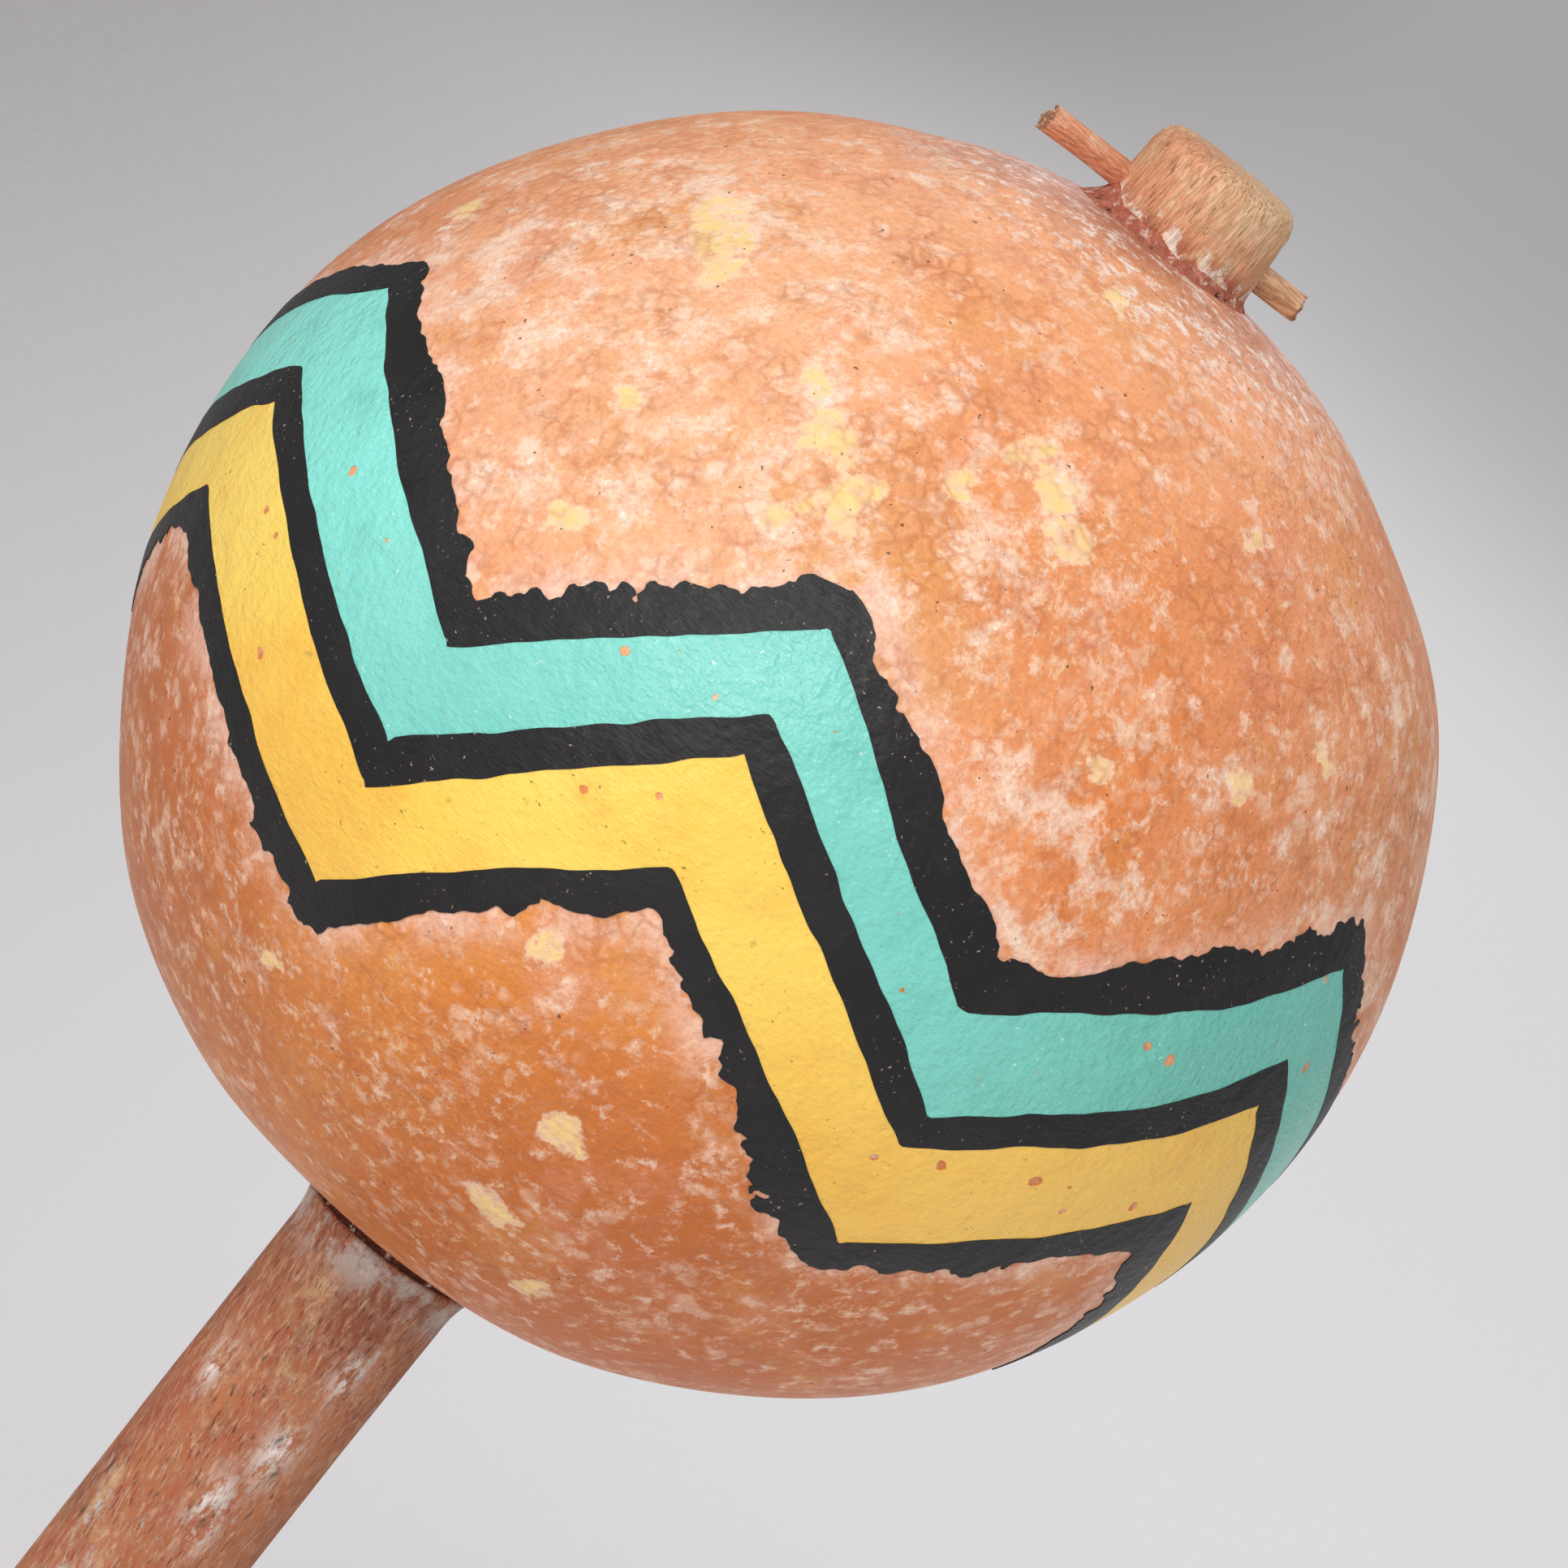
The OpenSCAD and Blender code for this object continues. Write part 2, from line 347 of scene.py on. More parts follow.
def rindMaterial():
    look = rindLook
    rind, tree, place, pattern = startMaterial("dyedGourdRind", look)
    bent, drifted, torn = (ruffled(tree, place, size, reach) for size, reach in ((2, 1.3), (16, 24), (5, 9)))
    ground = addNode(tree, "Mix", {0: pattern("tone"), 6: toLinear(look["orange"]),
                                             7: toLinear(look["peach"])}, data_type="RGBA")[2]
    # the dye zones; the dark ones low down and on the -X side are partly painted shade
    ground = layCoats(tree, ground, [(facing(tree, drifted, *zone[:3]), *zone[3:]) for zone in look["zones"]])
    bloomy = strongest(tree, [facing(tree, drifted, *spot) for spot in look["bloomPlaces"]])
    worn = strongest(tree, [facing(tree, torn, *spot) for spot in look["scuffs"]])

    def over(name):
        first, second = look[name]
        return along(tree, place, "Z", gourdZ + first, gourdZ + second)

    upper = addNode(tree, "MapRange", {0: over("upper"), 3: look["lowerBloom"]})[0]
    pale = overlap(tree, pattern("pale", bent, lean=(bloomy, 0.065)), upper)
    cells = addNode(tree, "TexVoronoi", {"Vector": ruffled(tree, place, 1.6, 1.5),
                                                   "Scale": 1 / (2.7 * mm)}, feature="DISTANCE_TO_EDGE")
    creases = addNode(tree, "MapRange", {0: cells[0], 1: 0.20, 2: 0.0})[0]
    creases = overlap(tree, creases, pattern("creasePlaces"))
    hem = addNode(tree, "Attribute", attribute_name="hem")["Fac"]
    masks = {
        "pale": pale, "creases": creases,
        "fine": overlap(tree, pattern("fine", bent), pattern("finePlaces", lean=(bloomy, 0.04))),
        "hem": overlap(tree, hem, pattern("hem", bent)),
        "dapple": overlap(tree, flakes(tree, bent, 3.0, 0.30, 0.50), pattern("dapplePlaces")),
        "streaks": overlap(tree, pattern("streaks", bent), pattern("streakPlaces")),
        "creamRim": pattern("creamRim", bent, lean=(worn, 0.22)),
        "cream": overlap(tree, pattern("cream", bent, lean=(worn, 0.22)), worn, pattern("creamWear", bent)),
        "chalk": overlap(tree, pattern("chalk"), pale),
        "stain": overlap(tree, facing(tree, drifted, *look["stain"]), pattern("stain", bent)),
        **{name: overlap(tree, pattern(name, bent), over(name)) for name in ("pigment", "dusting")}}
    colour = layCoats(tree, ground, coatsOf(look, pattern, masks))
    dull = addNode(tree, "MapRange", {0: pale, 3: look["rough"], 4: look["bloomRough"]})[0]
    finishMaterial(tree, colour, dull, look["gloss"],
                   [(pattern("dimples"), 0.35), (pattern("pores"), 0.13), (creases, -0.05)])
    return rind


# Brushed poster paint: flat colour with orange-peel relief, small dirt marks and a light sheen
paintLook = {
    # "zones" tint the coat as on the rind: longitude, latitude and reach in degrees, colour, strength
    "turquoise": {"main": "#76CFC1", "light": "#88DDCE", "deep": "#66C0AF", "dirt": "#9DB896",
                  "dust": "#EAF6EC", "zones": [(60, -6, 40, "#6BBBA6", 0.5), (-62, 8, 40, "#8DE9DB", 0.9)],
                  "seed": 71, "rough": 0.29, "gloss": 0.5, "peel": 0.12, "dustSize": 0.8},
    "yellow": {"main": "#FACB4E", "light": "#FFDB66", "deep": "#F5AF45", "dirt": "#B98748", "dust": "#6B4A22",
               "zones": [(-60, 0, 26, "#FFDF70", 0.7), (-38, -26, 20, "#F4AC42", 0.5),
                         (24, -22, 22, "#F6B445", 0.4), (56, -12, 34, "#FCC65F", 0.8)],
               "seed": 73, "rough": 0.40, "gloss": 0.5, "peel": 0.09, "dustSize": 0.7},
    "black": {"main": "#171618", "light": "#232021", "deep": "#0F0E10", "dirt": "#3A2A1C", "dust": "#C9A890",
              "zones": [], "seed": 75, "rough": 0.45, "gloss": 0.34, "peel": 0.05, "dustSize": 0.6},
}


def paintMaterial(kind):
    look, seed = paintLook[kind], paintLook[kind]["seed"]
    patterns = {
        "tone": (24, 0.35, 0.65, seed, 4), "shade": (9, 0.48, 0.75, seed + 1, 6, 0.66),
        "marks": (3.0, 0.63, 0.70, seed + 2, 6, 0.72), "dust": (look["dustSize"], 0.68, 0.74, seed + 3, 2),
        "dustPlaces": (12, 0.45, 0.6, seed + 6, 3), "strokes": (1.4, 0.42, 0.66, seed + 7, 4, 0.55, 0.25),
        "bumps": (1.0, 0.25, 0.75, seed + 4, 2, 0.5), "waves": (6, 0.2, 0.8, seed + 5, 2)}
    paint, tree, place, pattern = startMaterial(kind + "Paint", {"patterns": patterns})
    drifted = ruffled(tree, place, 12, 14)
    strokes = pattern("strokes")
    colour = layCoats(tree, toLinear(look["main"]), [
        (pattern("tone"), look["light"], 0.7),
        *[(facing(tree, drifted, *zone[:3]), *zone[3:]) for zone in look["zones"]],
        (pattern("shade"), look["deep"], 0.55), (strokes, look["light"], 0.25),
        (pattern("marks"), look["dirt"], 0.5),
        (overlap(tree, pattern("dust"), pattern("dustPlaces")), look["dust"], 0.8)])
    finishMaterial(tree, colour, look["rough"], look["gloss"],
                   [(pattern("waves"), 0.25), (pattern("bumps"), look["peel"]), (strokes, 0.03)])
    return paint


# Branch wood rubbed with red earth: matt, with short pale fibres, grey bloom and dark checks, and painted
# shadow darkening it just under the gourd
handleLook = {
    "wood": "#B67049", "pale": "#E2B592", "dark": "#683424", "red": "#A24C32", "grey": "#D2CBC3",
    "white": "#F4ECE4", "tan": "#D9B585", "check": "#2E1B15", "rough": 0.7, "gloss": 0.35,
    # heights over the shoulder in mm, where the painted shadow under the gourd and the lip's bloom begin and
    # are full
    "shade": (-24, -6), "lip": (-9, -0.5),
    "patterns": {
        "fibres": (0.6, 0.42, 0.66, 21, 6, 0.70, 4), "cracks": (0.4, 0.60, 0.72, 22, 3, 0.55, 9),
        "red": (11, 0.42, 0.60, 23, 8, 0.72, 1.8), "dark": (9, 0.52, 0.70, 24, 8, 0.72, 2.0),
        "tan": (8, 0.52, 0.64, 25, 8, 0.74, 1.6), "grey": (6, 0.56, 0.67, 26, 8, 0.76, 1.6),
        "lip": (5, 0.42, 0.60, 27, 7, 0.76, 1.6), "pocks": (2.0, 0.66, 0.74, 28, 4, 0.7, 2.0),
        "shade": (10, 0.40, 0.56, 29, 7, 0.68, 1.6), "chalk": (2.0, 0.44, 0.56, 30, 7, 0.75, 2.4)},
    # the "shade" coat is painted shadow under the gourd
    "coats": [
        ("red", "red", 0.7), ("tan", "tan", 0.7), ("dark", "dark", 0.6), ("shade", "dark", 0.5),
        ("fibres", "pale", 0.55), ("cracks", "dark", 0.7), ("grey", "grey", 0.75), ("lip", "grey", 0.85),
        ("chalk", "white", 0.9), ("pocks", "dark", 0.5), ("pits", "check", 0.95)],
}


def handleWoodMaterial():
    look = handleLook
    wood, tree, place, pattern = startMaterial("redRubbedBranchWood", look)
    slanted = addNode(tree, "Mapping", {0: place, 2: (0.14, 0.10, 0)})[0]
    fibres, cracks, grey = pattern("fibres", slanted), pattern("cracks", slanted), pattern("grey")
    pits, chalky = (addNode(tree, "Attribute", attribute_name=name)["Fac"]
                    for name in ("pit", "chalk"))
    masks = {"fibres": fibres, "cracks": cracks, "grey": grey, "pits": pits,
             "chalk": overlap(tree, chalky, pattern("chalk"))}
    # the lip's grey bloom, and the painted shadow that darkens the handle towards the gourd
    for name in ("lip", "shade"):
        rise = along(tree, place, "Z", *(shoulderZ + height for height in look[name]))
        masks[name] = overlap(tree, rise, pattern(name))
    colour = layCoats(tree, toLinear(look["wood"]), coatsOf(look, pattern, masks))
    finishMaterial(tree, colour, look["rough"], look["gloss"],
                   [(fibres, 0.10), (cracks, -0.12), (grey, 0.04)])
    return wood


# Bare cut end of the same stick: dry tan wood with open fine grain, dyed and chalky at its foot
stubLook = {
    "wood": "#E2B78E", "light": "#F4D6B2", "grain": "#A8743F", "dye": "#DF936D", "chalk": "#F6E6D8",
    "paste": "#A9553F", "pit": "#4A241A", "rough": 0.78, "gloss": 0.35,
    "dyeSide": (7, -6),     # the dye grows from one side of the stub to the other, in mm
    # heights over the stub's foot in mm, where each begins and is full
    "rises": {"foot": (10, 2.5), "smear": (4.2, 1.2), "chalk": (5, 2)},
    "patterns": {
        "grain": (0.36, 0.44, 0.68, 31, 5, 0.66, 8), "cracks": (0.38, 0.61, 0.72, 37, 3, 0.6, 9),
        "wide": (2.6, 0.40, 0.65, 32, 5, 0.55, 3), "dyed": (4, 0.32, 0.56, 33, 7, 0.70),
        "foot": (4, 0.36, 0.54, 38, 7, 0.7), "smear": (5, 0.42, 0.50, 35, 6, 0.66),
        "chalk": (3.4, 0.48, 0.57, 34, 7, 0.72), "dots": (0.7, 0.70, 0.76, 36, 1)},
    "coats": [
        ("wide", "light", 0.5), ("dyed", "dye", 0.75), ("foot", "dye", 0.7), ("grain", "grain", 0.4),
        ("cracks", "grain", 0.65), ("smear", "paste", 0.85), ("chalk", "chalk", 0.8), ("dots", "pit", 0.45)],
}


def stubWoodMaterial():
    look = stubLook
    wood, tree, place, pattern = startMaterial("bareStubWood", look)
    footZ = gourdZ + waistRadius - gourdShape["bulge"]
    slanted = addNode(tree, "Mapping", {0: place, 2: (0.06, -0.10, 0)})[0]
    bent = ruffled(tree, place, 1.6, 2.4)
    grain, cracks, wide = pattern("grain", slanted), pattern("cracks", slanted), pattern("wide")
    masks = {"grain": grain, "cracks": cracks, "wide": wide,
             "dyed": overlap(tree, along(tree, place, "X", *look["dyeSide"]), pattern("dyed", bent))}
    for name, rise in look["rises"].items():
        height = along(tree, place, "Z", footZ + rise[0], footZ + rise[1])
        masks[name] = overlap(tree, height, pattern(name, bent))
    colour = layCoats(tree, toLinear(look["wood"]), coatsOf(look, pattern, masks))
    finishMaterial(tree, colour, look["rough"], look["gloss"],
                   [(wide, 0.08), (grain, -0.10), (cracks, -0.16)])
    return wood


# Split softwood peg: straight fibres along the peg, orange dye on one end, raw on the other
pegLook = {
    "raw": "#D3A47B", "light": "#F8CDAA", "dark": "#9A5530", "dye": "#E39068", "rough": 0.72,
    "dyeSide": (4, -6),
    "patterns": {"fibres": (0.35, 0.42, 0.68, 41, 4), "blots": (2.4, 0.46, 0.64, 42, 6, 0.7),
                 "torn": (0.6, 0.4, 0.6, 43, 4, 0.7)},
    "coats": [("dyeSide", "dye", 0.85), ("blots", "light", 0.5), ("fibres", "dark", 0.45),
              ("broken", "light", 0.5), ("torn", "dark", 0.8)],
}


def pegWoodMaterial():
    look = pegLook
    wood, tree, place, pattern = startMaterial("splitPegWood", look)
    turned = addNode(tree, "Mapping", {0: place, 2: (0, 0, -radians(pegShape["turn"])),
                                                 3: (0.1, 1, 1)})[0]
    fibres = pattern("fibres", turned)
    broken = addNode(tree, "Attribute", attribute_name="broken")["Fac"]
    torn = overlap(tree, broken, pattern("torn"))
    dyeSide = along(tree, place, "X", *look["dyeSide"], ease="LINEAR")
    masks = {"dyeSide": dyeSide, "fibres": fibres, "broken": broken, "torn": torn}
    colour = layCoats(tree, toLinear(look["raw"]), coatsOf(look, pattern, masks))
    finishMaterial(tree, colour, look["rough"], 0.5, [(fibres, 0.12), (torn, 0.2)])
    return wood


# Clay paste, pressed on wet and left to dry: matt, crumbly, with pits and pale dust
pasteLook = {
    "redClayPaste": {"main": "#BE6A52", "light": "#D49078", "dark": "#8E4634", "rim": "#CB8268"},
    # the gap paste is red-brown clay coloured far darker than the top paste: painted shade in the gap under
    # the gourd
    "gapPastePaintedShade": {"main": "#54261A", "light": "#8A4630", "dark": "#2E130C", "rim": "#54261A"},
    "dust": "#F3DCCB", "pit": "#2E120D", "rough": 0.88, "gloss": 0.3,
    "patterns": {"lumps": (2.6, 0.4, 0.65, 51, 6, 0.7), "crumbs": (0.7, 0.4, 0.7, 52, 4, 0.7),
                 "dust": (1.6, 0.55, 0.63, 53, 6, 0.75)},
}


def pasteMaterial(name):
    look, clay = pasteLook, pasteLook[name]
    paste, tree, place, pattern = startMaterial(name, look)
    lumps, crumbs = pattern("lumps"), pattern("crumbs")
    pits, rim = (addNode(tree, "Attribute", attribute_name=mark)["Fac"]
                 for mark in ("pit", "rim"))
    colour = layCoats(tree, toLinear(clay["main"]), [
        (lumps, clay["light"], 0.5), (rim, clay["rim"], 0.8), (crumbs, clay["dark"], 0.4),
        (pattern("dust"), look["dust"], 0.7), (pits, look["pit"], 0.97)])
    finishMaterial(tree, colour, look["rough"], look["gloss"], [(lumps, 0.2), (crumbs, 0.12)])
    return paste


# River stones, tumbled by water: hard and smooth with a faint speckle
stoneLook = {"main": "#8F857A", "light": "#B0A593", "dark": "#5B534C", "rough": 0.5,
             "patterns": {"bands": (5, 0.4, 0.6, 61, 5), "speckle": (0.5, 0.55, 0.7, 62, 4)}}


def stoneMaterial():
    look = stoneLook
    stone, tree, place, pattern = startMaterial("riverStone", look)
    speckle = pattern("speckle")
    colour = layCoats(tree, toLinear(look["main"]), [
        (pattern("bands"), look["light"], 0.7), (speckle, look["dark"], 0.5)])
    finishMaterial(tree, colour, look["rough"], 0.5, [(speckle, 0.05)])
    return stone


# Links a finished mesh as one piece of the rattle
def addPiece(name, mesh, materials, nodes=(), body="rattle"):
    for material in materials:
        mesh.materials.append(material)
    piece = bpy.data.objects.new(name, mesh)
    scene.collection.objects.link(piece)
    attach(piece, body)
    if nodes:
        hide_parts(*nodes)
    return piece


# A skin over a grid of points, closed round the axis; its ends meet (ring) or close in a point
def skinGrid(name, points, ring=False):
    rows, columns = points.shape[:2]
    index = np.arange(rows * columns).reshape(rows, columns)
    beside = np.roll(index, -1, axis=1)
    if ring:
        lower, upper = (index, beside), (np.roll(index, -1, axis=0), np.roll(beside, -1, axis=0))
    else:
        lower, upper = (index[:-1], beside[:-1]), (index[1:], beside[1:])
    faces = np.stack([lower[0], lower[1], upper[1], upper[0]], axis=-1).reshape(-1, 4).tolist()
    corners = points.reshape(-1, 3)
    if not ring:
        first, last = len(corners), len(corners) + 1
        corners = np.vstack([corners, points[0].mean(axis=0), points[-1].mean(axis=0)])
        faces += [(int(b), int(a), first) for a, b in zip(index[0], beside[0])]
        faces += [(int(a), int(b), last) for a, b in zip(index[-1], beside[-1])]
    mesh = bpy.data.meshes.new(name)
    mesh.from_pydata((corners * mm).tolist(), [], faces)
    mesh.shade_smooth()
    return mesh


# Smooth noise at a point, from about -1 to 1
def cloudAt(x, y, z):
    return noise.noise(Vector((x, y, z)))


# Stores one number a point for a material to read
def paintOn(mesh, name, values):
    marks = mesh.attributes.new(name, "FLOAT", "POINT")
    marks.data.foreach_set("value", np.asarray(values, dtype=np.float32))


print("gourd")
gourdShape = {
    "bulge": 3.0,        # how much further out the waist is than the poles, in mm
    "wall": 4.0,
    "holeRadius": 11.1,
    "columns": 300,
    "rows": 150,
    "innerRows": 44,
    # broad dents and swellings: longitude and latitude in degrees, reach in degrees, height in mm
    "dents": [(-90, 50, 24, -1.3), (-92, -42, 26, 1.1), (92, 42, 13, 0.6), (90, -26, 12, -0.8),
              (90, -58, 20, -0.5), (-30, 58, 18, -0.5), (20, 20, 22, 0.4), (150, 30, 25, -0.8),
              (180, -35, 28, 0.9), (-150, 10, 20, -0.6)],
    "waves": 10,
    "waveHeight": 0.16,
    "seed": 11,
}
poleRadius = waistRadius - gourdShape["bulge"]
waveDraw = random.Random(gourdShape["seed"])
gourdWaves = [(np.array([waveDraw.gauss(0, 5.5) for axis in range(3)]), waveDraw.uniform(0, 6.28))
              for wave in range(gourdShape["waves"])]


def outward(lon, lat):
    return np.stack([np.cos(lat) * np.sin(lon), -np.cos(lat) * np.cos(lon), np.sin(lat)], axis=-1)


# How uneven the grown gourd is at a place, in mm; it fades out round the two holes
def unevenness(lon, lat):
    way = outward(lon, lat)
    height = np.zeros(np.shape(lat))
    for dentLon, dentLat, reach, rise in gourdShape["dents"]:
        middle = outward(radians(dentLon), radians(dentLat))
        away = np.degrees(np.arccos(np.clip(way @ middle, -1, 1)))
        height += rise * np.exp(-(away / reach) ** 2)
    for wave, phase in gourdWaves:
        height += gourdShape["waveHeight"] * np.sin(way @ wave + phase)
    return height * np.clip((84 - np.degrees(np.abs(lat))) / 16, 0, 1)


def gourdPoint(lon, lat, lift, even=False):
    reach = poleRadius + lift + (0 if even else unevenness(lon, lat))
    out = gourdShape["bulge"] + reach * np.cos(lat)
    return np.stack([out * np.sin(lon), -out * np.cos(lon), gourdZ + reach * np.sin(lat)], axis=-1)


def makeGourd():
    hole = acos((gourdShape["holeRadius"] - gourdShape["bulge"]) / poleRadius)
    innerHole = acos((gourdShape["holeRadius"] - gourdShape["bulge"])
                          / (poleRadius - gourdShape["wall"]))
    lon = np.linspace(0, 2 * pi, gourdShape["columns"], endpoint=False)
    outerLat = np.linspace(-hole, hole, gourdShape["rows"])
    innerLat = np.linspace(innerHole, -innerHole, gourdShape["innerRows"])
    outer = gourdPoint(*np.meshgrid(lon, outerLat), 0.0)
    # the inner wall is even, which leaves the stones their room
    inner = gourdPoint(*np.meshgrid(lon, innerLat), -gourdShape["wall"], even=True)
    mesh = skinGrid("gourd", np.concatenate([outer, inner]), ring=True)
    mesh.set_sharp_from_angle(angle=radians(50))
    return addPiece("gourd", mesh, [rindMaterial()], ["gourd_shell"])


gourd = makeGourd()

print("painted band")
painting = {
    # corners of the three black lines, right round the gourd: longitude and latitude in degrees
    "lines": {
        "upper": [(-95, -3.5), (-63.7, 16.3), (-50, 10.5), (-27.8, -1.0), (-2.8, 21.1), (26.1, 1.5),
                  (46, 12.5), (65.7, 21.5), (88, -1.5), (118, 20.5), (147, 0), (177, 19.5), (206, 0.5),
                  (236, 20)],
        "middle": [(-95, -17), (-63.2, 2.3), (-27, -15.5), (-1.8, 7.7), (30.5, -11.9), (62, 7.6), (84, -14.5),
                   (117, 7), (146, -13.5), (177, 6), (206, -14), (236, 6.5)],
        "lower": [(-95, -31), (-65.4, -11.6), (-27, -30.9), (-0.5, -7.4), (34.9, -27.6), (62.8, -7.6),
                  (80, -31), (116, -8), (146, -28), (176, -8.5), (206, -28.5), (236, -8)],
    },
    "halfWidth": {"upper": 2.7, "middle": 2.55, "lower": 2.5},   # mm
    # stretches that the brush went over twice: longitude and reach in degrees, extra width in mm
    "swells": {
        "upper": [(-62, 3, 0.5), (-45, 4.5, 1.3), (-36, 3.5, 1.5), (-10, 5, 0.6), (11.5, 2.2, 1.8),
                  (22, 3, 0.9), (38, 5, 1.9), (46, 5, 1.8), (57, 5, 2.0), (128, 4, 1.4), (190, 5, 1.6)],
        "lower": [(-25, 4, 0.8), (19, 2.5, 1.4), (25, 4, 2.4), (31, 4, 1.2), (44, 5, 1.5), (64, 4, 2.6),
                  (150, 5, 1.5), (-120, 4, 1.5)],
    },
    "tuck": 0.8,                # how far the colours run under the black, in mm
    "colourLift": 0.10, "blackLift": 0.18, "sink": 0.05,   # mm above and below the rind
    "step": 0.56,               # mm between the points that the strips are cut from
    "span": (-37, 28),          # lowest and highest latitude of the band, in degrees
    "courseStep": 0.25,         # degrees between the points that a line is followed by
    "cornerSoftening": 1.5,     # degrees
    # small knocks in each colour: from and to in mm above the middle line, how many, seed
    "chips": {"turquoise": (4.5, 13, 42, 21), "yellow": (-14, -4.5, 26, 22)},
    "chipSize": (0.2, 0.9),     # mm
    "flakeHold": 1.82,          # the lower, the more of the black's outer edge has flaked off
    "hemReach": 3.6,            # pale rim of the rind beside the black, in mm
}


# Noise over the whole band at one wavelength in mm, from about -1 to 1
def bandNoise(points, wavelength, seed):
    shift = Vector((seed * 7.3, seed * 3.1, seed * 5.7))
    flat = (points.reshape(-1, 3) / wavelength).tolist()
    return np.array([noise.noise(Vector(p) + shift) for p in flat]).reshape(points.shape[:2]) * 1.6


# How far places lie above one of the black lines, in mm across it; soft rounds its corners
def acrossLine(line, lon, lat, soft=False):
    fine = np.radians(np.arange(-180, 180, painting["courseStep"]))
    cornerLon, cornerLat = (np.radians(c) for c in zip(*painting["lines"][line]))
    course = np.interp(fine, cornerLon, cornerLat, period=2 * pi)
    lean = np.abs(np.roll(course, -1) - np.roll(course, 1)) / (fine[2] - fine[0])
    lean = np.interp(lon, fine, np.where(lean < 0.2, 0.5, lean), period=2 * pi)
    if soft:
        window = round(painting["cornerSoftening"] / painting["courseStep"])
        kernel = np.ones(2 * window + 1) / (2 * window + 1)
        course = np.convolve(np.concatenate([course[-window:], course, course[:window]]), kernel, "valid")
    height = np.interp(lon, fine, course, period=2 * pi)
    return (lat - height) * waistRadius / np.sqrt(1 + lean ** 2)


columns = round(2 * pi * waistRadius / painting["step"])
bandLon = np.arange(columns) * 2 * pi / columns - pi
bandLat = np.radians(np.arange(*painting["span"], degrees(painting["step"] / waistRadius)))
bandGrid = np.meshgrid(bandLon, bandLat)
bandPoints = gourdPoint(*bandGrid, 0.0)
across = {line: acrossLine(line, *bandGrid) for line in painting["lines"]}
acrossSoft = {line: acrossLine(line, *bandGrid, soft=True) for line in painting["lines"]}
# how a brushed edge wanders, how its roughness changes, its raggedness, and what flakes off, all in mm
wander = [0.5 * bandNoise(bandPoints, 14, s) + 0.22 * bandNoise(bandPoints, 4, s + 0.5) for s in (1, 2, 3, 4)]
roughStretch = [np.clip(0.7 + 1.2 * bandNoise(bandPoints, 22, s), 0.35, 1) for s in (10, 11)]
ragged = [0.8 * bandNoise(bandPoints, 12, s) + r * (1.0 * bandNoise(bandPoints, 5, s + 0.3)
          + 0.8 * bandNoise(bandPoints, 2.2, s + 0.6) + 0.5 * bandNoise(bandPoints, 1.2, s + 0.8))
          for s, r in zip((5, 6), roughStretch)]
chipNoise = bandNoise(bandPoints, 2.2, 8) + 0.7 * bandNoise(bandPoints, 1.1, 9)


# Marks the rind with how near each point is to the outer edge of the black
def markHem(mesh):
    x, y, z = np.array([v.co for v in mesh.vertices]).T / mm
    lon, lat = np.arctan2(x, -y), np.arctan2(z - gourdZ, np.hypot(x, y) - gourdShape["bulge"])
    half = painting["halfWidth"]
    edge = np.minimum(np.abs(acrossLine("upper", lon, lat, soft=True) - half["upper"]),
                      np.abs(acrossLine("lower", lon, lat, soft=True) + half["lower"]))
    paintOn(mesh, "hem", np.exp(-(edge / painting["hemReach"]) ** 2))


markHem(gourd.data)


# Takes small knocks out of a strip
def chipsOff(strip, low, high, count, seed):
    draw = random.Random(seed)
    for chip in range(count):
        column = draw.randrange(len(bandLon))
        height = draw.uniform(low, high)
        row = int(np.argmin(np.abs(across["middle"][:, column] - height)))
        away = np.linalg.norm(bandPoints - bandPoints[row, column], axis=-1)
        strip = np.minimum(strip, away - draw.uniform(*painting["chipSize"]) + 0.35 * chipNoise)
    return strip


# Cuts a strip of paint out of the band where its field is above 0, and gives it its thickness
def stripMesh(name, field, lift):
    rows, columns = field.shape
    inside = field > 0
    places, faces, known = [], [], {}

    def corner(i, j):
        key = (i, j % columns)
        if key not in known:
            known[key] = len(places)
            places.append((bandLon[key[1]], bandLat[i]))
        return known[key]

    def crossing(i, j, p, q):
        key = tuple(sorted([(i, j % columns), (p, q % columns)]))
        if key not in known:
            a, b = field[i, j % columns], field[p, q % columns]
            share = min(0.94, max(0.06, a / (a - b)))
            stepLon = (q - j) * 2 * pi / columns
            known[key] = len(places)
            places.append((bandLon[j % columns] + share * stepLon,
                           bandLat[i] + share * (bandLat[p] - bandLat[i])))
        return known[key]

    beside = np.roll(inside, -1, axis=1)
    count = inside[:-1].astype(int) + beside[:-1] + beside[1:] + inside[1:]
    for i, j in zip(*np.nonzero(count)):
        i, j = int(i), int(j)
        around = [(i, j), (i, j + 1), (i + 1, j + 1), (i + 1, j)]
        if count[i, j] == 4:
            faces.append([corner(*c) for c in around])
            continue
        outline = []
        for here, there in zip(around, around[1:] + around[:1]):
            hereIn, thereIn = inside[here[0], here[1] % columns], inside[there[0], there[1] % columns]
            if hereIn:
                outline.append(corner(*here))
            if hereIn != thereIn:
                outline.append(crossing(*here, *there) if hereIn else crossing(*there, *here))
        if len(outline) > 2:
            faces.append(outline)
    lon, lat = np.array(places).T
    top, under = gourdPoint(lon, lat, lift), gourdPoint(lon, lat, -painting["sink"])
    total = len(places)
    edges = {}
    for face in faces:
        for a, b in zip(face, face[1:] + face[:1]):
            edges[(a, b)] = True
    walls = [[b, a, a + total, b + total] for a, b in edges if (b, a) not in edges]
    backs = [[v + total for v in reversed(face)] for face in faces]
    mesh = bpy.data.meshes.new(name)
    mesh.from_pydata((np.vstack([top, under]) * mm).tolist(), [], faces + walls + backs)
    mesh.shade_smooth()
    mesh.set_sharp_from_angle(angle=radians(40))
    return mesh


